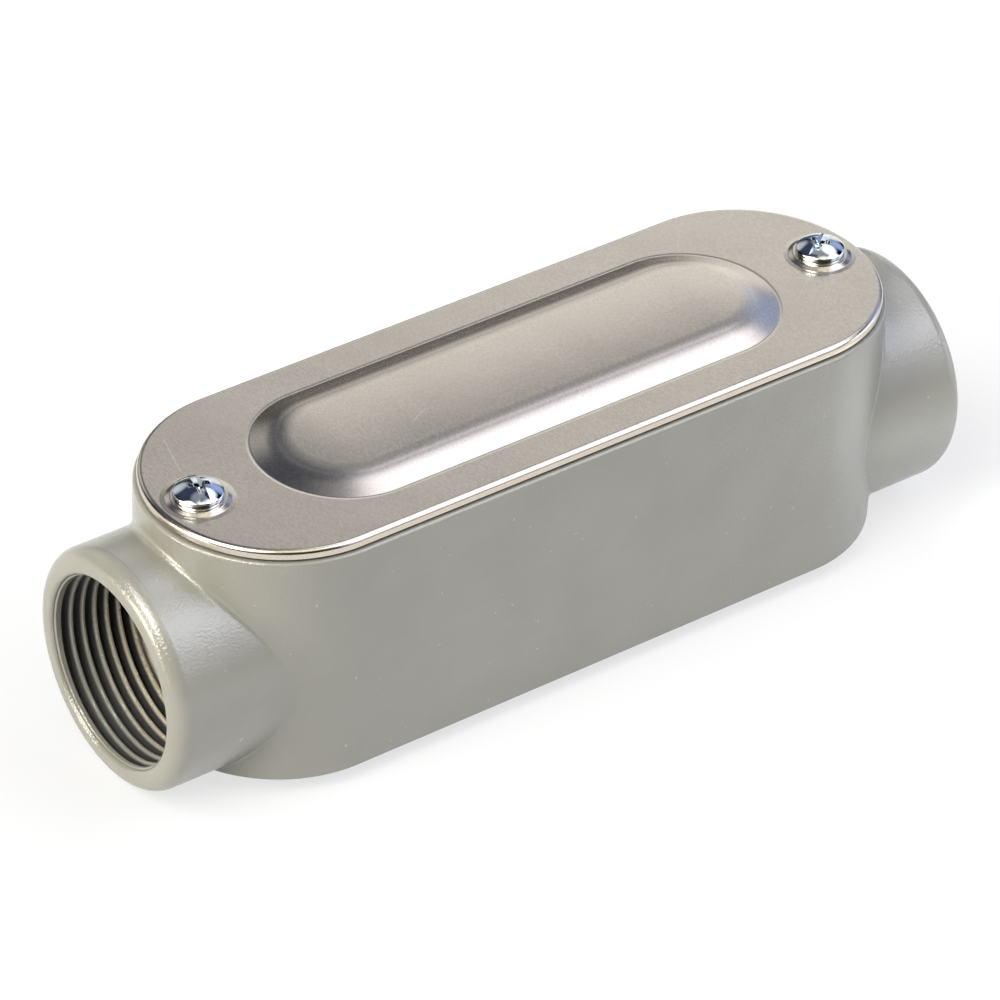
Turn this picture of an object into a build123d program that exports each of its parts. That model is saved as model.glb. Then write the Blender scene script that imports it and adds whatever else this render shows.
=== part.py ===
from build123d import *
import os

# Straight-through conduit body for one inch rigid conduit, with its screwed cover.
# Millimetres. X runs along the conduit, Y across the body, Z up through the cover.
# The origin lies under the middle of the body, level with the lowest line of the two hubs.

# Casting, outside
body_length = 137.4
body_width = 45.6
seat_above_axis = 24.75
back_below_axis = 17.3
rim_edge_chamfer = 0.5
back_edge_chamfer = 0.6

# Hubs, outside
hub_diameter = 40.3
hub_projection = 9.2
hub_lip_radius = 2.7
hub_root_fillet = 1.2
hub_nose_overrun = 2.0
hub_nose_radius = 5.0

# Hubs, inside
bore_diameter = 31.6
bore_lip_chamfer = 0.9
thread_depth = 17.0
throat_diameter = 26.6
throat_length = 4.4
shoulder_edge_chamfer = 1.0
throat_edge_radius = 1.3
sleeve_wall = 3.2

# Chamber
side_wall = 3.0
floor_wall = 3.0
floor_fillet = 3.0

# Cover screws and the posts that they enter
screw_end_distance = 7.6
screw_thread_diameter = 4.16
screw_length = 7.9
screw_tip_chamfer = 0.5
screw_head_diameter = 8.0
screw_head_height = 2.4
screw_head_bevel_run = 1.7
screw_head_bevel_rise = 1.0
slot_width = 1.1
slot_depth = 1.0
cross_wing_width = 1.0
cross_span = 4.6
cross_depth = 1.5
post_wall = 2.5
tapped_depth_past_tip = 0.9
screw_running_clearance = 0.05

# Gasket
gasket_thickness = 0.4
gasket_inset = 0.4
gasket_hole_clearance = 0.5

# Cover
cover_thickness = 1.6
cover_ledge = 0.6
cover_edge_radius = 0.85
cover_hole_clearance = 0.35
panel_end_margin = 20.0
panel_side_margin = 7.95
panel_rise = 1.77
panel_slope_run = 4.84
panel_bend_radius = 3.0
ring_foot_diameter = 10.5
ring_top_diameter = 8.4
ring_rise = 0.5

# Levels and stations worked out from the sizes above
axis_z = hub_diameter / 2
rim_z = axis_z + seat_above_axis
back_z = axis_z - back_below_axis
cover_z = rim_z + gasket_thickness
cover_top_z = cover_z + cover_thickness
head_seat_z = cover_top_z + ring_rise
screw_tip_z = head_seat_z - screw_length
mouth_x = body_length / 2 + hub_projection
thread_end_x = mouth_x - thread_depth
sleeve_face_x = thread_end_x - throat_length
screw_x = body_length / 2 - screw_end_distance
panel_length = body_length - 2 * panel_end_margin
panel_width = body_width - 2 * panel_side_margin
SIDES = {"left": -1, "right": 1}
STANDING = (Align.CENTER, Align.CENTER, Align.MIN)
HANGING = (Align.CENTER, Align.CENTER, Align.MAX)

# Radii
hub_radius = hub_diameter / 2
bore_radius = bore_diameter / 2
throat_radius = throat_diameter / 2
thread_radius = screw_thread_diameter / 2
tapped_radius = thread_radius + screw_running_clearance
post_radius = tapped_radius + post_wall


def oblong(length, width, low, high):
    """A block with straight sides and half-round ends, standing from one level to another."""
    return extrude(Pos(0, 0, low) * SlotOverall(length, width), high - low)


def edges_at(solid, level):
    """The edges of a solid that lie flat at one level."""
    return solid.edges().group_by(Axis.Z)[0 if level == "bottom" else -1]


def rod(radius, start, end):
    """A cylinder along the conduit's run, from one station to another on the hub axis."""
    middle = Pos((start + end) / 2, 0, axis_z)
    return middle * Rot(0, 90, 0) * Cylinder(radius, end - start)


def hub(side):
    """One hub as it looks from outside: a rounded lip at the mouth, a rounded nose under the back."""
    barrel = rod(hub_radius, sleeve_face_x - hub_nose_overrun, mouth_x)
    rims = barrel.edges().filter_by(GeomType.CIRCLE).sort_by(Axis.X)
    barrel = fillet(rims[-1], hub_lip_radius)
    nose = barrel.edges().filter_by(GeomType.CIRCLE).sort_by(Axis.X)[0]
    barrel = fillet(nose, hub_nose_radius)
    return barrel if side > 0 else mirror(barrel, Plane.YZ)


def bore(side):
    """The way in through one hub: lip, threaded length, shoulder and rounded throat, revolved."""
    beyond_mouth = mouth_x + bore_lip_chamfer
    beyond_sleeve = sleeve_face_x - throat_edge_radius
    wide_throat = throat_radius + throat_edge_radius
    round_start = (sleeve_face_x + throat_edge_radius, throat_radius)
    round_end = (sleeve_face_x, wide_throat)
    outline = Polyline(
        (beyond_sleeve, 0),
        (beyond_mouth, 0),
        (beyond_mouth, bore_radius + bore_lip_chamfer),
        (mouth_x, bore_radius + bore_lip_chamfer),
        (mouth_x - bore_lip_chamfer, bore_radius),
        (thread_end_x, bore_radius),
        (thread_end_x, throat_radius + shoulder_edge_chamfer),
        (thread_end_x - shoulder_edge_chamfer, throat_radius),
        round_start,
    )
    outline += RadiusArc(round_start, round_end, -throat_edge_radius)
    outline += Polyline(round_end, (beyond_sleeve, wide_throat), (beyond_sleeve, 0))
    half_section = make_face(Plane.XZ * outline)
    solid = Pos(0, 0, axis_z) * revolve(half_section, Axis.X)
    return solid if side > 0 else mirror(solid, Plane.YZ)


def chamber():
    """The space inside the walls, open at the cover, with a rounded floor edge."""
    length = body_length - 2 * side_wall
    width = body_width - 2 * side_wall
    space = oblong(length, width, back_z + floor_wall, rim_z)
    return fillet(edges_at(space, "bottom"), floor_fillet)


def inner_end(side):
    """The sleeve round one thread inside the chamber, with the post for the cover screw on it."""
    far_x = body_length / 2
    sleeve = rod(bore_radius + sleeve_wall, sleeve_face_x, far_x)
    post = Pos(screw_x, 0, 0) * Cylinder(post_radius, rim_z - axis_z, align=STANDING)
    web = Pos(screw_x, 0, 0) * Box(
        far_x - screw_x, 2 * post_radius, rim_z - axis_z, align=(Align.MIN, Align.CENTER, Align.MIN)
    )
    solid = sleeve + Pos(0, 0, axis_z) * (post + web)
    return solid if side > 0 else mirror(solid, Plane.YZ)


def rooted_box():
    """The box with its hubs, taller than the real one so that each hub root closes for its fillet."""
    box = oblong(body_length, body_width, back_z - hub_diameter, rim_z)
    for side in SIDES.values():
        barrel = hub(side)
        joined = box + barrel
        box = fillet(new_edges(box, barrel, combined=joined), hub_root_fillet)
    return box


def outside():
    """The casting's outside as one block: the rooted box cut level above a back with a bevelled edge."""
    back_edge_z = back_z + back_edge_chamfer
    block = rooted_box() & oblong(2 * mouth_x + hub_diameter, body_width + hub_diameter, back_edge_z, rim_z)
    back = oblong(body_length, body_width, back_z, back_edge_z + floor_wall)
    block += chamfer(edges_at(back, "bottom"), back_edge_chamfer)
    for side in SIDES.values():
        block += hub(side)
    return chamfer(edges_at(block, "top"), rim_edge_chamfer)


def body_casting():
    """The cast housing with its hubs, chamber, bores, throats and tapped posts."""
    shell = outside()
    space = chamber()
    shell -= space
    hole_bottom = screw_tip_z - tapped_depth_past_tip
    hole = Cylinder(tapped_radius, rim_z - hole_bottom, align=STANDING)
    for side in SIDES.values():
        shell += inner_end(side) & space
        shell -= bore(side)
        shell -= Pos(side * screw_x, 0, hole_bottom) * hole
    return shell


def gasket():
    """The thin seal between the rim and the cover, cut to the rim's shape round the screw posts."""
    length = body_length - 2 * (cover_ledge + gasket_inset)
    width = body_width - 2 * (cover_ledge + gasket_inset)
    sheet = oblong(length, width, rim_z, cover_z)
    window = oblong(body_length - 2 * side_wall, body_width - 2 * side_wall, rim_z, cover_z)
    hole_radius = thread_radius + gasket_hole_clearance
    reach = body_length / 2 - screw_x
    ear = Cylinder(post_radius, gasket_thickness, align=STANDING)
    neck = Box(reach, 2 * post_radius, gasket_thickness, align=STANDING)
    hole = Cylinder(hole_radius, gasket_thickness, align=STANDING)
    for side in SIDES.values():
        window -= Pos(side * screw_x, 0, rim_z) * ear
        window -= Pos(side * (screw_x + reach / 2), 0, rim_z) * neck
        sheet -= Pos(side * screw_x, 0, rim_z) * hole
    return sheet - window


def raised_panel(bottom_z):
    """The oblong raised field: one sloped edge with two bends, extruded between two revolved ends."""
    foot = panel_width / 2
    top = foot - panel_slope_run
    skirt = foot + panel_bend_radius
    crown = FilletPolyline((0, panel_rise), (top, panel_rise), (foot, 0), (skirt, 0), radius=panel_bend_radius)
    base = Polyline((skirt, 0), (skirt, -cover_thickness), (0, -cover_thickness), (0, panel_rise))
    section = make_face(Plane.XZ * (crown + base))
    run = panel_length - panel_width
    end_cap = revolve(section, Axis.Z)
    half_run = extrude(Rot(0, 0, 90) * section, run / 2, both=True)
    panel = Pos(run / 2, 0, 0) * end_cap + Pos(-run / 2, 0, 0) * end_cap
    panel += half_run + mirror(half_run, Plane.XZ)
    return Pos(0, 0, bottom_z) * panel


def cover():
    """The stamped sheet cover: rolled edge, raised field, a raised ring and a hole at each screw."""
    length = body_length - 2 * cover_ledge
    width = body_width - 2 * cover_ledge
    sheet = oblong(length, width, cover_z, cover_top_z)
    sheet = fillet(edges_at(sheet, "top"), cover_edge_radius)
    sheet += raised_panel(cover_top_z)
    ring = Cone(ring_foot_diameter / 2, ring_top_diameter / 2, ring_rise, align=STANDING)
    hole = Cylinder(thread_radius + cover_hole_clearance, cover_thickness + ring_rise, align=STANDING)
    for side in SIDES.values():
        sheet += Pos(side * screw_x, 0, cover_top_z) * ring
    sheet -= raised_panel(cover_z)
    for side in SIDES.values():
        sheet -= Pos(side * screw_x, 0, cover_z) * ring
        sheet -= Pos(side * screw_x, 0, cover_z) * hole
    return sheet


def screw():
    """A pan head screw standing on its seat, with a slot and a cross recess in its head."""
    head = Cylinder(screw_head_diameter / 2, screw_head_height, align=STANDING)
    head = chamfer(edges_at(head, "top"), screw_head_bevel_rise, screw_head_bevel_run)
    shank = Cylinder(thread_radius, screw_length, align=HANGING)
    shank = chamfer(edges_at(shank, "bottom"), screw_tip_chamfer)
    slot = Box(screw_head_diameter, slot_width, slot_depth, align=HANGING)
    wing = Box(cross_span, cross_wing_width, cross_depth, align=HANGING)
    recess = slot + wing + Rot(0, 0, 90) * wing
    return head + shank - Pos(0, 0, screw_head_height) * recess


nodes = {"body_casting": body_casting(), "gasket": gasket(), "cover": cover()}
for name, side in SIDES.items():
    nodes["screw_" + name] = Pos(side * screw_x, 0, head_seat_z) * screw()

os.makedirs("parts", exist_ok=True)
for name, solid in nodes.items():
    export_step(solid, "parts/" + name + ".step")
    print(name, round(solid.volume, 1))
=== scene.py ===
# %% [markdown]
# # A conduit body made of worked-out surfaces
#
# A conduit body is a small cast housing in a run of steel conduit. It has a threaded hub at each end
# and a screwed cover over the chamber where the wires are pulled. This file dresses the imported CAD
# model of one. The model is loaded first and stays as it is: it gives the place of everything.
# Shapes are worked out in millimetres, and a mesh is turned into metres when it is made. The finishes
# read their places on the object in metres.

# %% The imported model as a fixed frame
import math

import bmesh
import bpy
import numpy as np
from mathutils import Matrix, Vector


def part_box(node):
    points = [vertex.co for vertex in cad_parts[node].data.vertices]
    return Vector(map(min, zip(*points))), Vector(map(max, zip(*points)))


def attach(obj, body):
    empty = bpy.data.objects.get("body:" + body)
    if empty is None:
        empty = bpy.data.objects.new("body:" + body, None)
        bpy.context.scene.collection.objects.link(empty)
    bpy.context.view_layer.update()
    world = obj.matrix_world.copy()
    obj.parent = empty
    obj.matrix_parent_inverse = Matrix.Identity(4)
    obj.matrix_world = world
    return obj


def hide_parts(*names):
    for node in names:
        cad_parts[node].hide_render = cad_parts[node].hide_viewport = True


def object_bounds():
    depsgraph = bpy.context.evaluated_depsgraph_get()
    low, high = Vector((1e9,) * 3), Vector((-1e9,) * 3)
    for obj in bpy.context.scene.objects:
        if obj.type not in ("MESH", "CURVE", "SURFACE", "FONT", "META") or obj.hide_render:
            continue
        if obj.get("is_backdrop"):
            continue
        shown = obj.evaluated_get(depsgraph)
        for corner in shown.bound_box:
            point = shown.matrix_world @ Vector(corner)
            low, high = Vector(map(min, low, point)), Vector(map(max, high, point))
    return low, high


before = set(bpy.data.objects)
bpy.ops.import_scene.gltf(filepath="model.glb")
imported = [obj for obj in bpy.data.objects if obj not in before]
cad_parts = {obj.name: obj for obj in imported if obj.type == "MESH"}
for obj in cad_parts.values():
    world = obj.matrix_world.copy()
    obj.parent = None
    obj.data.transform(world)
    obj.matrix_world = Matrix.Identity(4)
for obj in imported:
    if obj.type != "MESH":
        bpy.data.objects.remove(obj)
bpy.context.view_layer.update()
for node_name in sorted(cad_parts):
    low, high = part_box(node_name)
    print(node_name, "from", [round(v * 1000, 2) for v in low], "to", [round(v * 1000, 2) for v in high])

# %% [markdown]
# ## The camera comes first
#
# The likeness is judged through one lens, so the camera is set before any shape. It stands about
# 0.94 m away, left of the middle and above, and looks through a long lens, which keeps the far hub
# almost as large as the near one. Its place is written as two angles, a distance and a small roll,
# because those are the numbers that can be read off a picture and corrected one at a time.

# %% Camera
MM = 0.001
HUB_AXIS_Z = 20.15
CAMERA_AZIMUTH = math.radians(-37.94)
CAMERA_ELEVATION = math.radians(36.15)
CAMERA_ROLL = math.radians(2.64)
CAMERA_DISTANCE = 936.5
CAMERA_SLIDE_RIGHT = -2.11
CAMERA_SLIDE_UP = 1.29
LENS_LENGTH = 209.63
SENSOR_WIDTH = 36


def aim(azimuth, elevation, roll):
    """Unit vectors of a view: level right, level up and back to the lens, then right and up with the roll.

    The way back is (sin azimuth * cos elevation, -cos azimuth * cos elevation, sin elevation), and
    the roll turns right and up about it."""
    flat = math.cos(elevation)
    back = Vector((math.sin(azimuth) * flat, -math.cos(azimuth) * flat, math.sin(elevation)))
    right = Vector((math.cos(azimuth), math.sin(azimuth), 0))
    up = back.cross(right)
    turned_right = right * math.cos(roll) + up * math.sin(roll)
    turned_up = up * math.cos(roll) - right * math.sin(roll)
    return right, up, back, turned_right, turned_up


level_right, level_up, view_back, view_right, view_up = aim(CAMERA_AZIMUTH, CAMERA_ELEVATION, CAMERA_ROLL)
stand = Vector((0, 0, HUB_AXIS_Z)) + view_back * CAMERA_DISTANCE
stand += level_right * CAMERA_SLIDE_RIGHT + level_up * CAMERA_SLIDE_UP
camera = bpy.data.objects.new("camera", bpy.data.cameras.new("camera"))
camera.data.lens = LENS_LENGTH
camera.data.sensor_width = SENSOR_WIDTH
camera.data.clip_start = 0.05
camera.data.clip_end = 50
turn = Matrix((view_right, view_up, view_back)).transposed().to_4x4()
camera.matrix_world = Matrix.Translation(stand * MM) @ turn
bpy.context.scene.collection.objects.link(camera)
bpy.context.scene.camera = camera
print("camera at", [round(v, 1) for v in stand], "mm")

# %% [markdown]
# ## A grid of points is all that a surface needs
#
# Every new piece here is a rectangular grid of points: rows run one way over the surface and columns
# the other. Four neighbouring points make a face, a grid may close on itself in either direction, and
# a row that shrinks to one point is a pole. Working the whole grid out at once with numpy is short,
# quick and exact, and the same few lines then serve every piece. The alternative, pushing and cutting
# primitives, leaves shapes whose sizes nobody can read afterwards.

# %% From grids to a mesh
SAME_POINT = 2e-7
SOFT_EDGE = 35


def grid_faces(rows, columns, close_rows, close_columns):
    """Corner numbers of a grid's faces. Each face joins a point to its neighbours up and along."""
    i = np.arange(rows if close_rows else rows - 1)[:, None]
    j = np.arange(columns if close_columns else columns - 1)[None, :]
    up, along = (i + 1) % rows, (j + 1) % columns
    corners = [i * columns + j, i * columns + along, up * columns + along, up * columns + j]
    return np.stack(np.broadcast_arrays(*corners), axis=-1).reshape(-1, 4)


def piece_from(name, grids, sharp_above=SOFT_EDGE):
    """A closed piece from grids, each given as (points, close_rows, close_columns).

    Points that fall together are merged, the faces are turned outwards, and an edge stays
    sharp where its two faces differ by more than the given angle in degrees."""
    points, faces, count = [], [], 0
    for grid, close_rows, close_columns in grids:
        rows, columns = grid.shape[:2]
        points.append(grid.reshape(-1, 3) * MM)
        faces.append(grid_faces(rows, columns, close_rows, close_columns) + count)
        count += rows * columns
    mesh = bpy.data.meshes.new(name)
    mesh.from_pydata(np.concatenate(points).tolist(), [], np.concatenate(faces).tolist())
    piece = bpy.data.objects.new(name, mesh)
    bpy.context.scene.collection.objects.link(piece)
    tidy(piece, sharp_above)
    return piece


def tidy(piece, sharp_above):
    """Merges doubled points, turns the faces outwards and marks the sharp edges."""
    work = bmesh.new()
    work.from_mesh(piece.data)
    bmesh.ops.remove_doubles(work, verts=work.verts, dist=SAME_POINT)
    bmesh.ops.dissolve_degenerate(work, edges=work.edges, dist=SAME_POINT)
    bmesh.ops.recalc_face_normals(work, faces=work.faces)
    work.to_mesh(piece.data)
    work.free()
    piece.data.shade_smooth()
    piece.data.set_sharp_from_angle(angle=math.radians(sharp_above))
    print(piece.name, len(piece.data.polygons), "faces")


def cut(piece, cutter, sharp_above=SOFT_EDGE):
    """Takes the cutter's room out of a closed piece, then drops the cutter."""
    step = piece.modifiers.new("cut", "BOOLEAN")
    step.operation, step.solver, step.object = "DIFFERENCE", "EXACT", cutter
    shape = piece.evaluated_get(bpy.context.evaluated_depsgraph_get())
    mesh = bpy.data.meshes.new_from_object(shape)
    piece.modifiers.clear()
    old, piece.data = piece.data, mesh
    bpy.data.meshes.remove(old)
    bpy.data.objects.remove(cutter)
    mesh.name = piece.name
    tidy(piece, sharp_above)


def joined(piece, other):
    """Puts the other piece into the first one's object. Their shells stay as they are."""
    with bpy.context.temp_override(active_object=piece, selected_editable_objects=[piece, other]):
        bpy.ops.object.join()
    print(piece.name, len(piece.data.polygons), "faces after the join")
    return piece


# %% [markdown]
# ## Profiles with rounded corners
#
# A cast or stamped thing has no knife edges, and its small roundings are what catch the light. So a
# section is written as a few corners and a radius for each, and one function puts in the arcs. It also
# leaves a holding point a little before and after each arc. Without it a long flat face would share its
# shading with the first facet of the curve, and would look swollen.

# %% A section from corners and radii
def rounded(corners, radii, steps=8, hold=0.12):
    """Points along a bent line whose inner corners are rounded.

    An arc of radius r through a turn t starts r * tan(t / 2) before its corner. Its points are
    centre + (start - centre) * cos(a) + r * forward * sin(a), for a from 0 to t."""
    corners = [np.array(c, float) for c in corners]
    line = [corners[0][None]]
    for before, corner, after, radius in zip(corners[:-2], corners[1:-1], corners[2:], radii):
        forward = (corner - before) / np.linalg.norm(corner - before)
        onward = (after - corner) / np.linalg.norm(after - corner)
        angle = math.acos(float(np.clip(forward @ onward, -1, 1)))
        if radius == 0:
            line.append(np.array([corner - forward * hold, corner, corner + onward * hold]))
            continue
        reach = radius * math.tan(angle / 2)
        start, end = corner - forward * reach, corner + onward * reach
        inwards = (onward - forward) / np.linalg.norm(onward - forward)
        middle = corner + inwards * radius / math.cos(angle / 2)
        a = np.linspace(0, angle, steps + 1)[:, None]
        arc = middle + (start - middle) * np.cos(a) + radius * forward * np.sin(a)
        line += [(start - forward * hold)[None], arc, (end + onward * hold)[None]]
    line.append(corners[-1][None])
    return np.concatenate(line)


def ease(value, low, high):
    """A smooth step: 0 below low, 1 above high, and t * t * (3 - 2 * t) between them."""
    t = np.clip((value - low) / (high - low), 0, 1)
    return t * t * (3 - 2 * t)


# %% [markdown]
# ## The box of the casting
#
# Seen from above the housing is an oblong: two straight sides and two half circles. Its walls, rim,
# chamber and floor all follow that outline, so the whole box is one section carried round it: out along
# the back, up the wall, over the rim, down into the chamber and in along the floor. Each row of the
# grid is an oblong with its own end radius and height, and the two middle rows close up on the line
# between the end centres, so that nothing is left open.

# %% The box as a stack of oblongs
END_CENTRE_X = 45.9
BODY_RADIUS = 22.8
CHAMBER_RADIUS = 19.8
BACK_Z = 2.85
FLOOR_Z = 5.85
RIM_Z = 44.9
BACK_EDGE, RIM_OUTSIDE, RIM_INSIDE, FLOOR_EDGE = 0.7, 0.55, 0.2, 3.0


def oblongs(half_runs, radii, heights, cap_steps=72):
    """A stack of oblongs, one row each.

    A point at angle a lies at (side * half_run + radius * cos a, radius * sin a, height),
    where side is +1 on the right half circle and -1 on the left one."""
    right_cap, left_cap = np.linspace(-90, 90, cap_steps), np.linspace(90, 270, cap_steps)
    a = np.radians(np.concatenate([right_cap, left_cap]))
    side = np.repeat([1.0, -1.0], cap_steps)
    rows = len(radii)
    half_runs, radii, heights = (np.broadcast_to(v, rows)[:, None] for v in (half_runs, radii, heights))
    x = side * half_runs + radii * np.cos(a)
    y = radii * np.sin(a)
    return np.stack([x, y, heights + 0 * a], axis=-1)


box_corners = [(0, BACK_Z), (BODY_RADIUS, BACK_Z), (BODY_RADIUS, RIM_Z), (CHAMBER_RADIUS, RIM_Z),
               (CHAMBER_RADIUS, FLOOR_Z), (0, FLOOR_Z)]
box_section = rounded(box_corners, [BACK_EDGE, RIM_OUTSIDE, RIM_INSIDE, FLOOR_EDGE])
box_grid = oblongs(END_CENTRE_X, box_section[:, 0], box_section[:, 1])
housing = piece_from("housing", [(box_grid, False, True)])

# %% [markdown]
# ## The hubs, from the wall to the throat
#
# A hub grows out of the round end wall, so the line where they meet isn't a circle: it runs far back
# along the sides and comes forward at the top. The casting has a small fillet there. Each column of
# this grid is the hub's section at one angle round its axis, and it starts where that column meets the
# wall. From there it runs over the fillet, along the hub, round the lip, down the thread and the
# shoulder, through the rounded throat that keeps wires from chafing, and back inside the wall.
# A boolean union would find the same line, but it would give no fillet and no even rows to shade.

# %% Sizes of a hub
HUB_RADIUS = 20.15
MOUTH_X = 77.9
LIP_RADIUS = 2.7
ROOT_RADIUS = 1.3
MOUTH_RADIUS = 16.1
MOUTH_EDGE = 0.75
MOUTH_BEVEL_X = 77.2
CREST_RADIUS = 15.8
CREST_START_X = 77.0
THREAD_END_X = 60.9
THROAT_RADIUS = 13.3
SLEEVE_X = 56.5
SLEEVE_RADIUS = 19.0
SLEEVE_BACK_X = 57.0
print("a hub stands", round(MOUTH_X - END_CENTRE_X - BODY_RADIUS, 2), "mm out of the end wall")

# %% [markdown]
# ## Where the hub leaves the wall
#
# The root is the one difficult part of the casting, because it changes all the way round. Above and at
# the sides the hub meets the wall, and a fillet joins them. Below the back there is no wall, and the
# hub ends in a rounded nose instead. Both are worked out for every angle, and one fades into the other
# within the height of the floor, close above the back.

# %% The root of a hub
NOSE_RADIUS = 5.0
NOSE_START_X = 54.5
NOSE_TOP_DROP = 15.8
FILLET_FADE = (0.68, 0.8)
NOSE_FADE = (0.81, 0.85)
LEAST_TANGENT = 0.03
SUNK = 1.5


def hub_fillet(angle, rows):
    """The fillet between the end wall and the hub, as (x, distance from the axis) for rows by columns.

    At an angle t round the axis a point of the wall at distance d lies at
    x = end centre + sqrt(body radius ** 2 - (d * cos t) ** 2). A ball of the root radius touches wall
    and hub at tangent lengths of r * tan(turn / 2). The surface between is the parabola that runs from
    the one point to the other and leaves both along their tangents. The first row is sunk into the wall."""
    lean = np.abs(np.cos(angle))
    reach = np.sqrt(BODY_RADIUS ** 2 - (HUB_RADIUS * lean) ** 2)
    turn_angle = np.arctan2(reach, HUB_RADIUS * lean ** 2)
    fade = 1 - ease(-np.sin(angle), *FILLET_FADE)
    tangent = ROOT_RADIUS * np.tan(turn_angle / 2) * fade + LEAST_TANGENT
    drop = tangent * np.sin(turn_angle)
    d0 = HUB_RADIUS + drop
    side = np.sqrt(BODY_RADIUS ** 2 - (d0 * lean) ** 2)
    x0 = END_CENTRE_X + side
    x1 = x0 + d0 * lean ** 2 / side * drop
    x2 = x1 + np.hypot(drop, x1 - x0)
    t = np.linspace(0, 1, rows)[:, None]
    wall_x = (1 - t) ** 2 * x0 + 2 * t * (1 - t) * x1 + t ** 2 * x2
    wall_d = (1 - t) ** 2 * d0 + (1 - (1 - t) ** 2) * HUB_RADIUS
    hidden_x = x0 - SUNK * side / BODY_RADIUS
    hidden_d = d0 - SUNK * d0 * lean ** 2 / BODY_RADIUS
    return np.vstack([hidden_x, wall_x]), np.vstack([hidden_d, wall_d])


def hub_nose(angle, rows):
    """The nose under the back: a quarter round whose first point lies level inside the floor.

    At an angle a of the quarter round, x = nose start + r * (1 - cos a), and the distance from the
    axis is hub radius - r + r * sin a."""
    inner = HUB_RADIUS - NOSE_RADIUS
    lowest = np.clip(NOSE_TOP_DROP / np.maximum(-np.sin(angle), 0.5), inner, HUB_RADIUS - 0.01)
    first = np.arcsin((lowest - inner) / NOSE_RADIUS)
    a = first + (np.pi / 2 - first) * np.linspace(0, 1, rows + 1)[:, None]
    return NOSE_START_X + NOSE_RADIUS * (1 - np.cos(a)), HUB_RADIUS - NOSE_RADIUS + NOSE_RADIUS * np.sin(a)


def hub_root(angle, rows=10):
    """Fillet and nose in one: fillet * (1 - under) + nose * under, where under grows from 0 to 1 with
    the sine of the angle below the axis."""
    wall_x, wall_d = hub_fillet(angle, rows)
    nose_x, nose_d = hub_nose(angle, rows)
    under = ease(-np.sin(angle), *NOSE_FADE)
    return wall_x + (nose_x - wall_x) * under, wall_d + (nose_d - wall_d) * under


# %% [markdown]
# ## The thread
#
# A tapped hole is a helix, and from the mouth its turns are what the eye counts. A normal map would
# stay flat at the rim of the mouth, so the grooves are real: the bore's rows are close together, and
# each point is pushed outwards by a depth that depends on its place and angle.

# %% The depth of the thread
THREAD_PITCH = 2.209
THREAD_DEPTH = 1.4
THREAD_PHASE = 0.064
GROOVE_HALF_WIDTH = 0.92
FLANK_LEAN = math.radians(30)
THREAD_FADES_IN = (61.8, 63.4)
THREAD_FADES_OUT = (75.9, 76.5)


def thread_depth(x, angle, side):
    """How deep the groove is at a place in the bore.

    Around a right-hand thread the groove moves one pitch per turn, so its phase is
    x / pitch - side * angle / (2 pi). A pipe thread is a deep V: its flanks lean 30 degrees from
    upright, so each runs depth * tan 30 along the bore, and the rest of a pitch is the flat crest and
    the narrow root. The depth is depth * (half width - distance from the groove's middle) / flank,
    kept between 0 and the full depth, and it fades out at both ends of the thread."""
    phase = (x - THREAD_PHASE) / THREAD_PITCH - side * angle / (2 * np.pi)
    from_middle = np.abs(phase - np.round(phase)) * THREAD_PITCH
    flank = THREAD_DEPTH * math.tan(FLANK_LEAN)
    groove = np.clip((GROOVE_HALF_WIDTH - from_middle) / flank, 0, 1)
    return THREAD_DEPTH * groove * ease(x, *THREAD_FADES_IN) * (1 - ease(x, *THREAD_FADES_OUT))


# %% All rows of a hub
BARREL_SHARES = [0.04, 0.2, 0.4, 0.6, 0.8, 0.96]
GROOVED_FROM, GROOVED_TO, GROOVED_ROWS = 76.95, 61.7, 172

lip = rounded([(MOUTH_X - LIP_RADIUS - 0.3, HUB_RADIUS), (MOUTH_X, HUB_RADIUS), (MOUTH_X, MOUTH_RADIUS),
               (MOUTH_BEVEL_X, MOUTH_RADIUS - 0.05), (CREST_START_X, CREST_RADIUS)],
              [LIP_RADIUS, MOUTH_EDGE, 0.0], steps=12, hold=0.05)
shoulder = rounded([(GROOVED_TO - 0.2, CREST_RADIUS), (THREAD_END_X, CREST_RADIUS),
                    (THREAD_END_X, THROAT_RADIUS), (SLEEVE_X, THROAT_RADIUS), (SLEEVE_X, SLEEVE_RADIUS),
                    (SLEEVE_BACK_X, SLEEVE_RADIUS)], [0.3, 1.0, 1.3, 0.3], hold=0.05)


def hub_grid(side, columns=144):
    """All rows of one hub at once: root, barrel, lip, thread, shoulder, throat and sleeve.

    A point at a distance d and an angle t round the axis lies at (side * x, d * cos t, axis + d * sin t)."""
    angle = np.linspace(0, 2 * np.pi, columns, endpoint=False)
    root_x, root_d = hub_root(angle)
    along = np.array(BARREL_SHARES)[:, None]
    barrel_x = root_x[-1] + (MOUTH_X - LIP_RADIUS - root_x[-1]) * along
    barrel_d = HUB_RADIUS + 0 * barrel_x
    run = np.linspace(GROOVED_FROM, GROOVED_TO, GROOVED_ROWS)
    section = np.concatenate([lip, np.stack([run, CREST_RADIUS + 0 * run], -1), shoulder])
    x = section[:, :1] + 0 * angle
    d = section[:, 1:] + 0 * angle
    grooved = slice(len(lip), len(lip) + len(run))
    d[grooved] += thread_depth(x[grooved], angle, side)
    x, d = np.vstack([root_x, barrel_x, x]), np.vstack([root_d, barrel_d, d])
    x[-1] = np.maximum(root_x[0] - 0.4, SLEEVE_BACK_X)
    return np.stack([side * x, d * np.cos(angle), HUB_AXIS_Z + d * np.sin(angle)], axis=-1)


hub_grids = {"left": hub_grid(-1), "right": hub_grid(1)}
print("a hub has", hub_grids["left"].shape[0], "rows and", hub_grids["left"].shape[1], "columns")

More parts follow.
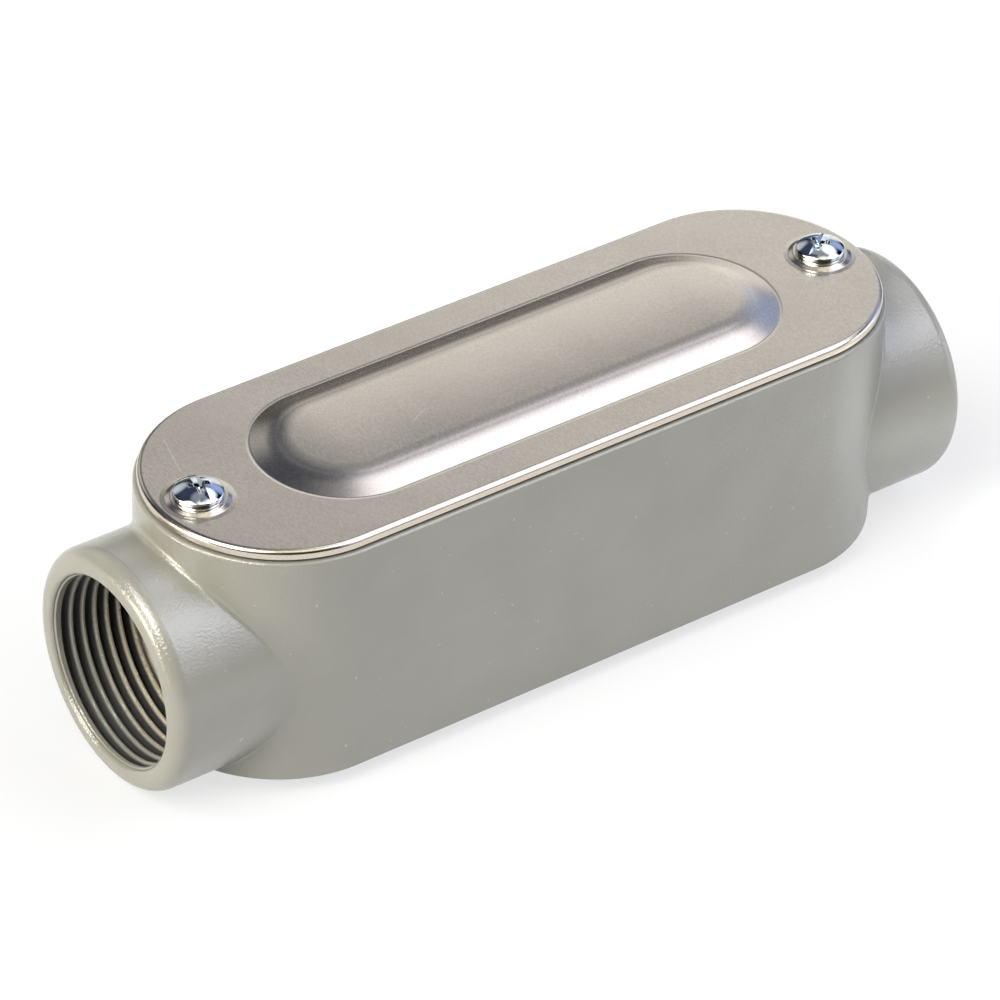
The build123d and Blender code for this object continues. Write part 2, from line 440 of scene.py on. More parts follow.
# %% [markdown]
# ## The ways through the end walls
#
# The box is still closed at its ends, so a round plug is taken out of each end wall. The cut is a
# little wider than the thread and a little narrower than the hub, so its rim is buried in the hub's
# own metal and never shows. This is a place where a boolean is simpler than a formula.

# %% Round plugs
PLUG_RADIUS = 18.0
PLUG_FROM_X, PLUG_TO_X = 58.6, 90.0


def drum(name, x_start, x_end, radius, columns=64):
    """A closed cylinder along x on the hub axis: end centre, rim, rim, end centre."""
    a = np.linspace(0, 2 * np.pi, columns, endpoint=False)
    x = np.array([x_start, x_start, x_end, x_end])[:, None] + 0 * a
    d = np.array([0, radius, radius, 0])[:, None] + 0 * a
    points = np.stack([x, d * np.cos(a), HUB_AXIS_Z + d * np.sin(a)], axis=-1)
    return piece_from(name, [(points, False, True)])


for side in (-1, 1):
    cut(housing, drum("plug", side * PLUG_FROM_X, side * PLUG_TO_X, PLUG_RADIUS))

# %% [markdown]
# ## The posts for the cover screws
#
# Inside each end a post stands on the sleeve and takes the cover screw. Its hole is round and its
# outside runs straight back into the end wall, so it is a grid round the screw's axis: up the hole,
# across the top and down the outside, with an outer distance that depends on the angle.

# %% Screw posts
SCREW_X = 61.1
POST_RADIUS = 4.63
POST_HOLE_RADIUS = 2.13
POST_HOLE_END_Z = 39.3
POST_FLAT_RADIUS = 3.2
POST_TOP_Z = 44.86
POST_EDGE = 0.3
POST_EDGE_Z = 44.6
POST_ROOT_Z = 37.5
POST_TO_WALL = 5.8


def post_grid(side, columns=72):
    """A post round its hole. The outer distance is the post's radius on the chamber side, and the
    nearer of the flank (radius / |sin a|) and the wall (reach / cos a) on the other."""
    a = np.linspace(0, 2 * np.pi, columns, endpoint=False)
    flank = POST_RADIUS / np.maximum(np.abs(np.sin(a)), 1e-6)
    wall = POST_TO_WALL / np.maximum(np.cos(a), 1e-6)
    outer = np.where(np.cos(a) > 0, np.minimum(flank, wall), POST_RADIUS)
    hole_corners = [(0, POST_HOLE_END_Z), (POST_HOLE_RADIUS, POST_HOLE_END_Z),
                    (POST_HOLE_RADIUS, POST_TOP_Z), (POST_FLAT_RADIUS, POST_TOP_Z)]
    inner = rounded(hole_corners, [0, 0.25], steps=4)
    r = np.vstack([inner[:, :1] + 0 * a, outer - POST_EDGE, outer, outer, 0 * a])
    outside_z = [POST_TOP_Z, POST_EDGE_Z, POST_ROOT_Z, POST_ROOT_Z]
    z = np.concatenate([inner[:, 1], outside_z])[:, None] + 0 * a
    return np.stack([side * (SCREW_X + r * np.cos(a)), r * np.sin(a), z], axis=-1)


fittings = piece_from("hubs", [(hub_grids["left"], True, True), (hub_grids["right"], True, True),
                               (post_grid(-1), False, True), (post_grid(1), False, True)])

# %% [markdown]
# ## One casting
#
# The real housing is poured in one piece, so the box, the hubs and the posts become one piece too.
# Their shells overlap inside the metal and stay that way. A union would break up the even rows, and
# nothing that shows would change.

# %% Box, hubs and posts together
casting = joined(housing, fittings)
casting.name = casting.data.name = "casting_skin"

# %% [markdown]
# ## The cover
#
# The cover is pressed from sheet: a rolled edge, a flat margin and a raised oblong field with an easy
# S-shaped slope. The field is shorter in proportion than the cover, so this time both the end radius
# and the distance between the end centres change from row to row, and on the flat margin the rows just
# spread from one oblong to the other. The underside repeats the top one sheet thickness lower.
# A pressed field is never quite flat: it stays a little higher along its middle, so the height is
# multiplied by 1 - crown * (distance / half width) ** 2, and the sheen changes from one side to the other.
# The edge of the die also leaves a valley of less than a tenth of a millimetre at the foot of the
# slope, which shows as a hair line of light.

# %% Cover section
COVER_Z = 45.3
COVER_TOP_Z = 46.9
COVER_RADIUS = 22.2
EDGE_ROLL, UNDER_EDGE = 0.85, 0.15
EDGE_START = 20.4
FIELD_CENTRE_X = 33.85
FIELD_RADIUS = 14.85
FIELD_RISE = 1.77
SLOPE_RUN = 4.5
SHOULDER_BEND, FOOT_BEND, VALLEY_BEND = 12.0, 0.7, 0.6
CROWN = 0.17
VALLEY = 0.07
FIELD_ROWS = 9

FIELD_TOP = FIELD_RADIUS - SLOPE_RUN
slope_corners = [(0, FIELD_RISE), (FIELD_TOP, FIELD_RISE), (FIELD_RADIUS, -VALLEY),
                 (FIELD_RADIUS + 0.5, 0), (FIELD_RADIUS + 3, 0)]
slope = rounded(slope_corners, [SHOULDER_BEND, FOOT_BEND, VALLEY_BEND], steps=18, hold=0.05)[:-1]
flat_part = np.linspace(0, slope[1, 0], FIELD_ROWS)[:-1]
slope = np.vstack([np.column_stack([flat_part, np.full(len(flat_part), FIELD_RISE)]), slope[1:]])
slope[:, 1] *= 1 - CROWN * np.minimum(slope[:, 0] / FIELD_TOP, 1) ** 2
edge = rounded([(EDGE_START, COVER_TOP_Z), (COVER_RADIUS, COVER_TOP_Z), (COVER_RADIUS, COVER_Z),
                (EDGE_START, COVER_Z)], [EDGE_ROLL, UNDER_EDGE], steps=10, hold=0.1)
print("the slope has", len(slope), "rows and the rolled edge", len(edge))

# %% The cover from its rows
cover_rows = np.vstack([
    np.column_stack([np.full(len(slope), FIELD_CENTRE_X), slope[:, 0], slope[:, 1] + COVER_TOP_Z]),
    np.column_stack([np.full(len(edge), END_CENTRE_X), edge]),
    np.column_stack([np.full(len(slope), FIELD_CENTRE_X), slope[::-1, 0], slope[::-1, 1] + COVER_Z]),
])
cover_grid = oblongs(cover_rows[:, 0], cover_rows[:, 1], cover_rows[:, 2], cap_steps=96)
cover_skin = piece_from("cover_skin", [(cover_grid, False, True)])

# %% [markdown]
# ## The seats under the screw heads
#
# Each screw stands on a low ring that the press raised round its hole, so that the sheet springs when
# the screw is tightened. The hole is punched with a boolean, and the ring is its section turned round
# the screw's axis. It ends short of the rolled edge, with its skirt inside the sheet.

# %% Holes for the screws, and the raised seats round them
SEAT_Z = 47.4
COVER_HOLE_RADIUS = 2.43
SEAT_TOP, SEAT_BEND, SEAT_FOOT = 4.5, 5.2, 6.1
SKIRT_Z = 46.2


def upright(x_centre, radii, heights, columns=96):
    """Rings round an upright axis: one row for each radius and height. A point at angle a lies at
    (x_centre + radius * cos a, radius * sin a, height)."""
    a = np.linspace(0, 2 * np.pi, columns, endpoint=False)
    r, z = np.asarray(radii, float)[:, None], np.asarray(heights, float)[:, None]
    return np.stack([x_centre + r * np.cos(a), r * np.sin(a), z + 0 * a], axis=-1)


seat_corners = [(COVER_HOLE_RADIUS, SKIRT_Z), (COVER_HOLE_RADIUS, SEAT_Z), (SEAT_TOP, SEAT_Z),
                (SEAT_BEND, COVER_TOP_Z + 0.07), (SEAT_FOOT, COVER_TOP_Z - 0.01), (SEAT_FOOT, SKIRT_Z)]
seat_section = rounded(seat_corners, [0.15, 0.5, 0.35, 0], steps=8, hold=0.03)
punch_section = ([0, COVER_HOLE_RADIUS, COVER_HOLE_RADIUS, 0], [40, 40, 50, 50])
seats = []
for side in (-1, 1):
    cut(cover_skin, piece_from("punch", [(upright(side * SCREW_X, *punch_section), False, True)]))
    seats.append((upright(side * SCREW_X, seat_section[:, 0], seat_section[:, 1]), True, True))
cover_skin = joined(cover_skin, piece_from("seat_rings", seats))

# %% [markdown]
# ## The screws
#
# Each cover screw has a low domed head that takes a plain or a cross driver. The head is its section
# turned round the axis. The slot and the cross are cut out of it, because a recess with flat walls and
# crisp edges is exactly what a boolean does well. Under the head the thread is a grid too: the same
# phase as in the hubs, standing outwards this time. The screws stopped at different turns when they
# were driven home, so each has its own angle.

# %% Sizes of a screw
HEAD_RADIUS = 4.0
HEAD_HEIGHT = 2.4
DOME_RADIUS, DOME_EDGE = 6.1, 3.6
HEAD_SIDE_Z = 1.05
SHANK_RADIUS = 2.07
SHANK_END_Z = 39.5
SHANK_PITCH = 0.794
RIDGE_HEIGHT = 0.38
TIP_RADIUS = 1.55
SLOT = {"length": 9.0, "width": 1.45, "depth": 1.05}
CROSS = {"length": 4.4, "width": 1.2, "depth": 1.7, "narrow": 0.5}
SCREW_EDGE = 30
print("a screw is", round(HEAD_HEIGHT + SEAT_Z - SHANK_END_Z, 2), "mm long with its head")


# %% Driver recess
def blade(name, x_centre, turn_by, length, width, depth, narrow=1.0):
    """A flat-sided cutter that stands in the head: a rectangle above, one below, and a point in the
    middle of each that closes it. The lower one may be narrower, as the end of a driver is."""
    top = SEAT_Z + HEAD_HEIGHT + 0.5
    half = np.array([[1, 1], [-1, 1], [-1, -1], [1, -1]]) * [length / 2, width / 2]
    scale = np.array([0, 1, narrow, 0])[:, None, None]
    flat = half[None] * scale
    x = flat[..., 0] * math.cos(turn_by) - flat[..., 1] * math.sin(turn_by) + x_centre
    y = flat[..., 0] * math.sin(turn_by) + flat[..., 1] * math.cos(turn_by)
    z = np.array([top, top, top - 0.5 - depth, top - 0.5 - depth])[:, None] + 0 * x
    return piece_from(name, [(np.stack([x, y, z], -1), False, True)])


# %% Head, shank and tip
def screw_head():
    """The head's section from its middle outwards and down: a dome of height - r ** 2 / (2 * dome
    radius), a rounded side, and the flat underside."""
    dome = np.linspace(0, DOME_EDGE, 13)
    crown_part = np.column_stack([dome, HEAD_HEIGHT - dome ** 2 / (2 * DOME_RADIUS)])
    side_corners = [crown_part[-1], (HEAD_RADIUS, HEAD_SIDE_Z), (HEAD_RADIUS, 0), (SHANK_RADIUS, 0)]
    side_part = rounded(side_corners, [0.35, 0.15], steps=6, hold=0.03)
    head = np.vstack([crown_part, side_part[1:]])
    head[:, 1] += SEAT_Z
    return head


def screw_piece(name, side, turn_by):
    """A screw standing on its seat: head, shank with a helical ridge, and a blunt tip.

    The ridge is 1 where z / pitch - angle / (2 pi) is a whole number and falls off evenly on both
    sides, and the shank's radius is least where it is 0."""
    x_centre = side * SCREW_X
    head = screw_head()
    a = np.linspace(0, 2 * np.pi, 96, endpoint=False)
    z = np.linspace(SEAT_Z - 0.3, SHANK_END_Z + 0.35, 90)[:, None]
    phase = z / SHANK_PITCH - a / (2 * np.pi)
    ridge = 1 - 2 * np.abs(phase - np.round(phase))
    r = SHANK_RADIUS - RIDGE_HEIGHT * (1 - ease(ridge, 0.1, 0.9)) * ease(SEAT_Z - z, 0.4, 1.0)
    shank = np.stack([x_centre + r * np.cos(a), r * np.sin(a), z + 0 * a], -1)
    tip = upright(x_centre, [TIP_RADIUS, 0], [SHANK_END_Z, SHANK_END_Z])
    grid = np.vstack([upright(x_centre, head[:, 0], head[:, 1]), shank, tip])
    screw = piece_from(name, [(grid, False, True)], SCREW_EDGE)
    cut(screw, blade("slot", x_centre, turn_by, **SLOT), SCREW_EDGE)
    for quarter in (0, 1):
        cut(screw, blade("cross", x_centre, turn_by + quarter * math.pi / 2, **CROSS), SCREW_EDGE)
    return screw


screws = {"left": screw_piece("screw_left_skin", -1, math.radians(75)),
          "right": screw_piece("screw_right_skin", 1, math.radians(31))}

# %% [markdown]
# ## Writing a material as sums
#
# A procedural finish is mostly arithmetic: a mask here, a blend there. Nodes say that badly and
# formulas say it well, so one small class wraps a socket and turns +, -, * and / into Math nodes.
# Everything else, such as a noise or a colour mix, comes from one method that names the node.

# %% A socket that does arithmetic
class Signal:
    """A number, vector or colour on its way through a node tree."""

    def __init__(self, wiring, socket):
        self.wiring, self.socket = wiring, socket

    def __add__(self, other):
        return self.wiring.maths("ADD", self, other)

    def __sub__(self, other):
        return self.wiring.maths("SUBTRACT", self, other)

    def __rsub__(self, other):
        return self.wiring.maths("SUBTRACT", other, self)

    def __mul__(self, other):
        return self.wiring.maths("MULTIPLY", self, other)

    def __truediv__(self, other):
        return self.wiring.maths("DIVIDE", self, other)

    def __abs__(self):
        return self.wiring.maths("ABSOLUTE", self)

    __radd__, __rmul__ = __add__, __mul__


# %% A node tree that is written in lines
class Wiring:
    """One node tree, with a short way to add nodes to it."""

    def __init__(self, tree):
        self.tree = tree

    def node(self, kind, settings, inputs, output=0):
        """Adds a node: its settings first, then a value or a link for each named socket."""
        node = self.tree.nodes.new(kind)
        for key, value in settings.items():
            setattr(node, key, value)
        for key, value in inputs.items():
            if isinstance(value, Signal):
                self.tree.links.new(value.socket, node.inputs[key])
            else:
                node.inputs[key].default_value = value
        return Signal(self, node.outputs[output])

    def maths(self, operation, *values):
        """One sum on numbers, such as SQRT or MINIMUM."""
        return self.node("ShaderNodeMath", {"operation": operation}, dict(enumerate(values)))

    def step(self, value, low, high):
        """0 below low, 1 above high, smooth between them."""
        return self.node("ShaderNodeMapRange", {"interpolation_type": "SMOOTHSTEP"},
                         {"Value": value, "From Min": low, "From Max": high})

    def length(self, *parts):
        """How long a vector is: the square root of the sum of its squared parts."""
        total = parts[0] * parts[0]
        for part in parts[1:]:
            total = total + part * part
        return self.maths("SQRT", total)

    def blend(self, factor, first, second):
        """The first colour where the factor is 0, the second where it is 1. The colours go into the
        Mix node's sockets 6 and 7, and the result comes out of its socket 2."""
        return self.node("ShaderNodeMix", {"data_type": "RGBA"}, {0: factor, 6: first, 7: second}, 2)

    def parts(self, vector):
        """The x, y and z of a vector."""
        node = self.tree.nodes.new("ShaderNodeSeparateXYZ")
        self.tree.links.new(vector.socket, node.inputs[0])
        return [Signal(self, out) for out in node.outputs]

    def scaled(self, vector, by):
        """A vector with each part multiplied, which stretches a pattern."""
        return self.node("ShaderNodeVectorMath", {"operation": "MULTIPLY"}, {0: vector, 1: by})

    def grain(self, vector, scale, detail=2.0, roughness=0.5):
        """Smooth noise from 0 to 1. The scale is in waves per metre."""
        inputs = {"Vector": vector, "Scale": scale, "Detail": detail, "Roughness": roughness}
        return self.node("ShaderNodeTexNoise", {}, inputs)

    def bumps(self, height, distance, under=None):
        """A bumped normal. The distance is in metres, and under is a normal that it adds to."""
        inputs = {"Height": height, "Distance": distance, "Strength": 1.0}
        if under is not None:
            inputs["Normal"] = under
        return self.node("ShaderNodeBump", {}, inputs)


# %% A finish is one Principled surface
class Finish(Wiring):
    """A material with one Principled surface. Fixed values go straight onto its sockets."""

    def __init__(self, name, **fixed):
        self.material = bpy.data.materials.new(name)
        self.material.use_nodes = True
        super().__init__(self.material.node_tree)
        self.surface = self.tree.nodes["Principled BSDF"]
        for key, value in fixed.items():
            self.surface.inputs[key.replace("_", " ")].default_value = value
        self.place = self.node("ShaderNodeTexCoord", {}, {}, "Object")

    def feed(self, **links):
        """Links signals to the surface's sockets, and says how many nodes the finish has by then."""
        for key, signal in links.items():
            self.tree.links.new(signal.socket, self.surface.inputs[key.replace("_", " ")])
        print(self.material.name, len(self.tree.nodes), "nodes, fed to", ", ".join(links))


def linear(red, green, blue):
    """A screen colour from 0 to 255 as the linear colour that a shader works with."""
    c = np.array([red, green, blue]) / 255
    return (*np.where(c <= 0.04045, c / 12.92, ((c + 0.055) / 1.055) ** 2.4).tolist(), 1.0)


# %% [markdown]
# ## Enamel on a rough casting
#
# The housing is sprayed with a warm grey enamel that flowed a little before it set. It is glossy, and
# its gloss belongs to the surface itself and not to a clear coat, because the bumps have to break it:
# the skin of the casting shows through as an orange peel of under half a millimetre. A few specks of
# dust and chips are caught in it. In the hubs the crests of the thread carry paint, and the grooves are
# dark and dull: bare dark metal at the root, with painted shade that darkens each flank from just under
# the crest downwards. Deep inside dry crumbs of paint have gathered. So the distance from the hub axis
# and the place along it, which the object coordinates give, decide where each of these goes.

# %% Where the enamel changes
BORE_WITHIN = (0.0176, 0.0180)
BORE_FROM_X = (0.0560, 0.0568)
BORE_TO_X = (0.0767, 0.0771)
CREST_TO_GROOVE_SHADE = (0.01588, 0.0164)
DEEP_TO_MOUTH = (0.0640, 0.0735)

enamel = Finish("body_enamel", IOR=1.8)
x_place, y_place, z_place = enamel.parts(enamel.place)
from_axis = enamel.length(y_place, z_place - HUB_AXIS_Z * MM)
end_x = abs(x_place)
in_bore = 1 - enamel.step(from_axis, *BORE_WITHIN)
in_bore = in_bore * enamel.step(end_x, *BORE_FROM_X) * (1 - enamel.step(end_x, *BORE_TO_X))
# The groove mask is dark bare metal at the root and painted shade down the flanks above it.
groove = in_bore * enamel.step(from_axis, *CREST_TO_GROOVE_SHADE)
deep = in_bore * (1 - enamel.step(end_x, *DEEP_TO_MOUTH))

# %% Body enamel
PAINT_DARKER, PAINT_LIGHTER = linear(132, 131, 123), linear(137, 136, 127)
SPECK_COLOUR, GROOVE_METAL_AND_SHADE = linear(215, 212, 200), linear(22, 21, 20)
DRY_PAINT, CRUMB_COLOUR = linear(196, 186, 160), linear(222, 208, 176)
PEEL_HEIGHT, WAVE_HEIGHT, CRUMB_HEIGHT = 0.00008, 0.00003, 0.00012

cloud = enamel.grain(enamel.place, 60.0, 3.0)
speck = enamel.step(enamel.grain(enamel.place, 900.0, 1.0), 0.77, 0.80)
crumbs = deep * enamel.step(enamel.grain(enamel.place, 1500.0), 0.56, 0.66)
paint = enamel.blend(enamel.step(cloud, 0.3, 0.7), PAINT_DARKER, PAINT_LIGHTER)
paint = enamel.blend(speck * 0.18, paint, SPECK_COLOUR)
paint = enamel.blend(deep * 0.65, paint, DRY_PAINT)
paint = enamel.blend(crumbs * 0.7, paint, CRUMB_COLOUR)
# The grooves take the dark of bare metal and the painted shade on their flanks.
paint = enamel.blend(groove, paint, GROOVE_METAL_AND_SHADE)
peel = enamel.grain(enamel.place, 2600.0)
waves = enamel.grain(enamel.place, 450.0, 1.0)
skin = enamel.bumps(peel, PEEL_HEIGHT, enamel.bumps(waves, WAVE_HEIGHT))
enamel.feed(Base_Color=paint, Normal=enamel.bumps(crumbs, CRUMB_HEIGHT, skin))
enamel.feed(Roughness=0.15 + groove * 0.5 + deep * 0.3 + cloud * 0.04)

# %% [markdown]
# ## Rolled aluminium
#
# The cover is bare sheet with a fine grain across it, left by rolling, and a soft sheen. Bare metal has
# almost no colour of its own: it shows what stands round it, blurred. So the grain is drawn as
# stretched noise that changes the roughness and tilts the surface a very little, and the colour stays
# nearly even. A few hair scratches and one small dark spot finish it. A scratch could be a picture, but a
# line between two points needs only the distance to it.

# %% A hair scratch
SWAY = 0.0008

sheet = Finish("cover_sheet", Metallic=1.0)
sheet_x, sheet_y, _ = sheet.parts(sheet.place)
sway = (sheet.grain(sheet.place, 500.0, 1.0) - 0.5) * SWAY


def scratch(start, end, width):
    """A hair line between two points of the cover, in millimetres, as a number from 0 to 1.

    The nearest place on the line lies t of the way along it, where t is
    (point - start) . (end - start) / length ** 2, kept between 0 and 1. The line is where the
    distance to that place is under the width, and a little noise keeps it from being straight."""
    start, end = np.array(start) * MM, np.array(end) * MM
    run_x, run_y = (end - start).tolist()
    start_x, start_y = start.tolist()
    from_x, from_y = sheet_x - start_x + sway, sheet_y - start_y + sway
    t = (from_x * run_x + from_y * run_y) / (run_x ** 2 + run_y ** 2)
    t = sheet.maths("MINIMUM", sheet.maths("MAXIMUM", t, 0.0), 1.0)
    distance = sheet.length(from_x - t * run_x, from_y - t * run_y)
    return 1 - sheet.step(distance, width * 0.4 * MM, width * MM)


# %% Scratches and a dark spot: each scratch has its start, end, width and strength
SCRATCHES = [
    ((-56.9, 15.8), (-59.5, 7.4), 0.14, 0.55),
    ((37.7, 8.4), (20.1, -1.2), 0.22, 0.35),
    ((48.3, 20.3), (42.8, 14.4), 0.2, 0.35),
    ((56.5, -3.6), (49.5, -8.5), 0.14, 0.3),
    ((59.5, -6.0), (52.0, -12.2), 0.14, 0.3),
    ((-20.0, -2.0), (-23.5, -3.6), 0.2, 0.3),
    ((5.0, 19.0), (-3.0, 18.2), 0.12, 0.3),
]
# One small round spot on the near margin of the cover is drawn darker.
DARK_SPOT_X, DARK_SPOT_Y = -0.0571, -0.0207
DARK_SPOT_SIZE = (0.0004, 0.0011)

hair_lines = 0.0
for start, end, width, strength in SCRATCHES:
    hair_lines = hair_lines + scratch(start, end, width) * strength
dark_spot = 1 - sheet.step(sheet.length(sheet_x - DARK_SPOT_X, sheet_y - DARK_SPOT_Y), *DARK_SPOT_SIZE)
print(len(SCRATCHES), "scratches")

# %% Cover sheet
GRAIN_STRETCH = (1.0, 0.3, 1.0)
GRAIN_DARKER, GRAIN_LIGHTER = linear(203, 194, 181), linear(221, 212, 198)
BROAD_TONE, SCRATCH_COLOUR, DARK_SPOT_COLOUR = linear(213, 202, 187), linear(250, 246, 238), linear(70, 60, 50)
GRAIN_HEIGHT, BROAD_HEIGHT = 0.0000022, 0.0001

fine = sheet.grain(sheet.scaled(sheet.place, GRAIN_STRETCH), 5000.0, 2.0, 0.6)
broad = sheet.grain(sheet.place, 45.0)
tone = sheet.blend(sheet.step(fine, 0.3, 0.7), GRAIN_DARKER, GRAIN_LIGHTER)
tone = sheet.blend(sheet.step(broad, 0.35, 0.7) * 0.4, tone, BROAD_TONE)
tone = sheet.blend(hair_lines, tone, SCRATCH_COLOUR)
tone = sheet.blend(dark_spot * 0.8, tone, DARK_SPOT_COLOUR)
sheet.feed(Base_Color=tone, Normal=sheet.bumps(fine, GRAIN_HEIGHT, sheet.bumps(broad, BROAD_HEIGHT)))
sheet.feed(Roughness=0.16 + fine * 0.08 + broad * 0.04 + hair_lines * 0.25)

# %% [markdown]
# ## Bright zinc and the gasket
#
# The screws are steel with bright zinc, almost a mirror with a cold blue cast. The gasket is a thin
# line of dark rubber under the cover, dull and a little uneven. Both need little more than one noise.

# %% Screw plating
ZINC_DARKER, ZINC_LIGHTER = linear(206, 216, 222), linear(228, 232, 234)

zinc = Finish("screw_zinc", Metallic=1.0)
mottle = zinc.grain(zinc.place, 700.0)
plating = zinc.blend(zinc.step(mottle, 0.3, 0.7), ZINC_DARKER, ZINC_LIGHTER)
zinc.feed(Base_Color=plating, Roughness=0.05 + mottle * 0.06, Normal=zinc.bumps(mottle, 0.00001))

# %% Gasket rubber
RUBBER_DARKER, RUBBER_LIGHTER = linear(58, 54, 50), linear(92, 86, 78)

rubber = Finish("gasket_fibre", Roughness=0.85)
felt = rubber.grain(rubber.place, 2500.0, 3.0)
rubber.feed(Base_Color=rubber.blend(felt, RUBBER_DARKER, RUBBER_LIGHTER), Normal=rubber.bumps(felt, 0.00004))

# %% [markdown]
# ## Finishes and bodies
#
# Each finished piece gets its finish, rides on the body that carries it and takes the place of the plain
# solid it stands for, so that it moves when the joint moves. The gasket's solid already has the right
# shape, and only gets a finish.

# %% Finishes go onto the pieces, and the pieces onto their bodies
def dress(piece, finish):
    """Gives a piece its one finish."""
    piece.data.materials.clear()
    piece.data.materials.append(finish.material)
    print(piece.name, "wears", finish.material.name)


dress(casting, enamel)
dress(cover_skin, sheet)
dress(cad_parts["gasket"], rubber)
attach(casting, "casting")
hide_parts("body_casting")
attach(cover_skin, "cover")
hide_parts("cover")
for side_name, screw in screws.items():
    dress(screw, zinc)
    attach(screw, "screw_" + side_name)
    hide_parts("screw_" + side_name)

# %% [markdown]
# ## The studio
#
# Bare metal shows its room, so the room matters more here than the lamps. It has a large bright light
# on the left, a low warm one beyond the left end that lights the mouth of the thread, a cool one high
# up on the right that draws the bright bands along the hubs, and weaker ones all round behind, which
# give each slope of the cover its own tone. Between them it is dark, and that is what makes the
# sheet read as metal. The room is the world itself. Each light is a soft-edged round patch of sky,
# given by its direction, by the angles within which it is full and beyond which it is gone, and by its
# strength and tint. Real lamps would do the same, but patches need no stands and hide nothing. The lens
# itself sees plain white instead of the room.

# %% A patch of light in the sky
WARM, CREAM, NEUTRAL = (1.0, 0.92, 0.70), (1.0, 0.98, 0.92), (1.0, 1.0, 1.0)
COOL, BLUE = (0.95, 0.98, 1.13), (0.65, 0.82, 1.35)

world = bpy.data.worlds.new("studio")
bpy.context.scene.world = world
world.use_nodes = True
room = Wiring(world.node_tree)
sky = room.node("ShaderNodeTexCoord", {}, {}, "Generated")


def patch(azimuth, elevation, full_within, gone_beyond):
    """A round patch of sky as a number: 1 within the first angle of its direction, 0 beyond the second.

    The cosine of the angle between the sky's direction and the patch's is their dot product."""
    a, e = math.radians(azimuth), math.radians(elevation)
    towards = (math.cos(e) * math.cos(a), math.cos(e) * math.sin(a), math.sin(e))
    along = room.node("ShaderNodeVectorMath", {"operation": "DOT_PRODUCT"}, {0: sky, 1: towards}, "Value")
    return room.step(along, math.cos(math.radians(gone_beyond)), math.cos(math.radians(full_within)))


def light(strength, tint, *where):
    """The colour that one patch adds to the sky."""
    colour = tuple(strength * part for part in tint)
    return room.node("ShaderNodeVectorMath", {"operation": "SCALE"}, {0: colour, "Scale": patch(*where)})


# %% The lights: strength, tint, azimuth, elevation, full within, gone beyond
lights = [
    light(10.6, CREAM, 188, 48, 4, 28),
    light(23.0, WARM, 165, 2, 3, 16),
    light(3.8, COOL, -44, 47, 9, 24),
    light(1.4, COOL, -60, 22, 5, 18),
    light(1.9, COOL, 11, 59, 6, 21),
    light(1.0, NEUTRAL, 50, 23, 3, 17),
    light(0.29, NEUTRAL, 52, 42, 4, 19),
    light(0.12, NEUTRAL, 64, 3, 4, 16),
    light(1.0, NEUTRAL, 40, 6, 3, 14),
    light(0.7, NEUTRAL, 92, 22, 2, 22),
    light(2.6, COOL, -24, 2, 3, 22),
    light(0.6, BLUE, 22, 27, 6, 20),
    light(1.2, BLUE, -4, 12, 5, 18),
    light(0.07, BLUE, 80, 60, 15, 50),
    light(0.3, NEUTRAL, 0, 88, 8, 24),
    light(1.6, WARM, -95, 64, 3, 24),
]
all_light = lights[0]
for other in lights[1:]:
    all_light = room.node("ShaderNodeVectorMath", {"operation": "ADD"}, {0: all_light, 1: other})
print(len(lights), "lights in the sky")

# %% The world shows the lights to the object and white to the lens
background = room.tree.nodes["Background"]
room.tree.links.new(all_light.socket, background.inputs["Color"])
seen = room.node("ShaderNodeLightPath", {}, {}, "Is Camera Ray")
white = room.node("ShaderNodeBackground", {}, {"Color": (1, 1, 1, 1), "Strength": 1.0})
shown = room.node("ShaderNodeMixShader", {}, {0: seen, 1: Signal(room, background.outputs[0]), 2: white})
room.tree.links.new(shown.socket, room.tree.nodes["World Output"].inputs[0])
print("the sky is white to the lens")

# %% [markdown]
# ## The sweep
#
# The object stands on a wide sheet of pale paper. Plain paper would render grey here, so a share of it
# glows: more of it where the lens looks at it, and some where the metal mirrors it. The rest stays
# matt, and keeps the soft shadow that ties the object to the ground.

# %% The paper sweep
SWEEP_HALF = 1500.0
PAPER_GREY = (0.7, 0.7, 0.7, 1)
LENS_SHARE, MIRROR_SHARE = 0.7, 0.5

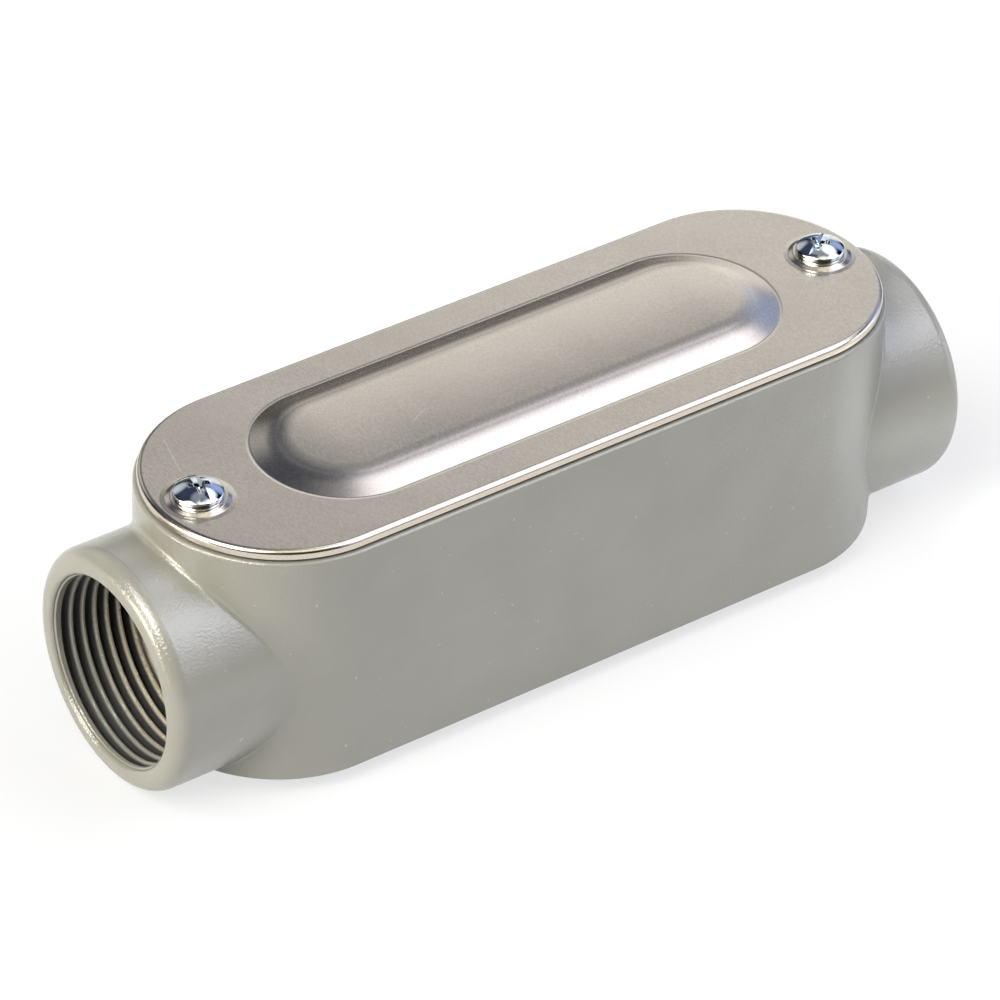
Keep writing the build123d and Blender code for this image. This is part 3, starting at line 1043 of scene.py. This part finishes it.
half = SWEEP_HALF * MM
paper_corners = [(-half, -half, 0), (half, -half, 0), (half, half, 0), (-half, half, 0)]
floor_mesh = bpy.data.meshes.new("floor")
floor_mesh.from_pydata(paper_corners, [], [(0, 1, 2, 3)])
floor = bpy.data.objects.new("floor", floor_mesh)
bpy.context.scene.collection.objects.link(floor)
floor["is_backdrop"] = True
floor_material = bpy.data.materials.new("paper")
floor_material.use_nodes = True
paper = Wiring(floor_material.node_tree)
matt = paper.node("ShaderNodeBsdfDiffuse", {}, {"Color": PAPER_GREY})
glow = paper.node("ShaderNodeEmission", {}, {"Color": (1, 1, 1, 1), "Strength": 1.0})
lens = paper.node("ShaderNodeLightPath", {}, {}, "Is Camera Ray")
mirror = paper.node("ShaderNodeLightPath", {}, {}, "Is Glossy Ray")
share = lens * LENS_SHARE + mirror * MIRROR_SHARE
both = paper.node("ShaderNodeMixShader", {}, {0: share, 1: matt, 2: glow})
paper.tree.links.new(both.socket, paper.tree.nodes["Material Output"].inputs[0])
floor_mesh.materials.append(floor_material)
print("a sweep of", 2 * half, "m")

# %% [markdown]
# ## A small lamp over the sweep
#
# The round end on the right turns away from the lens, so it mirrors the bit of sweep in front of it at
# a grazing angle, and there the gloss is strong. A small lamp hangs over that bit of the sweep and
# points straight down. Its narrow cone passes the object by, and the end draws itself with a cool edge.

# %% Lamp over the sweep
LAMP_PLACE = (0.094, -0.047, 0.5)
LAMP_CONE = math.radians(6.0)
LAMP_TINT = (0.93, 0.98, 1.0)

lamp = bpy.data.objects.new("sweep_lamp", bpy.data.lights.new("sweep_lamp", "SPOT"))
lamp.data.energy = 18.0
lamp.data.color = LAMP_TINT
lamp.data.spot_size = LAMP_CONE
lamp.data.spot_blend = 0.5
lamp.data.shadow_soft_size = 0.01
lamp.matrix_world = Matrix.Translation(LAMP_PLACE)
bpy.context.scene.collection.objects.link(lamp)
print("a lamp of", lamp.data.energy, "W over the sweep")

# %% [markdown]
# ## Measuring and closing
#
# Last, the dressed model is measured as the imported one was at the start. The two boxes should be alike,
# because a finish that grows or shrinks a part would no longer fit its neighbours.

# %% Close the file
bpy.context.scene.view_settings.view_transform = "Standard"
visual_box = [list(corner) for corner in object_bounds()]
low, high = (np.round(np.array(corner) * 1000, 2) for corner in visual_box)
print("visual model from", low, "to", high)
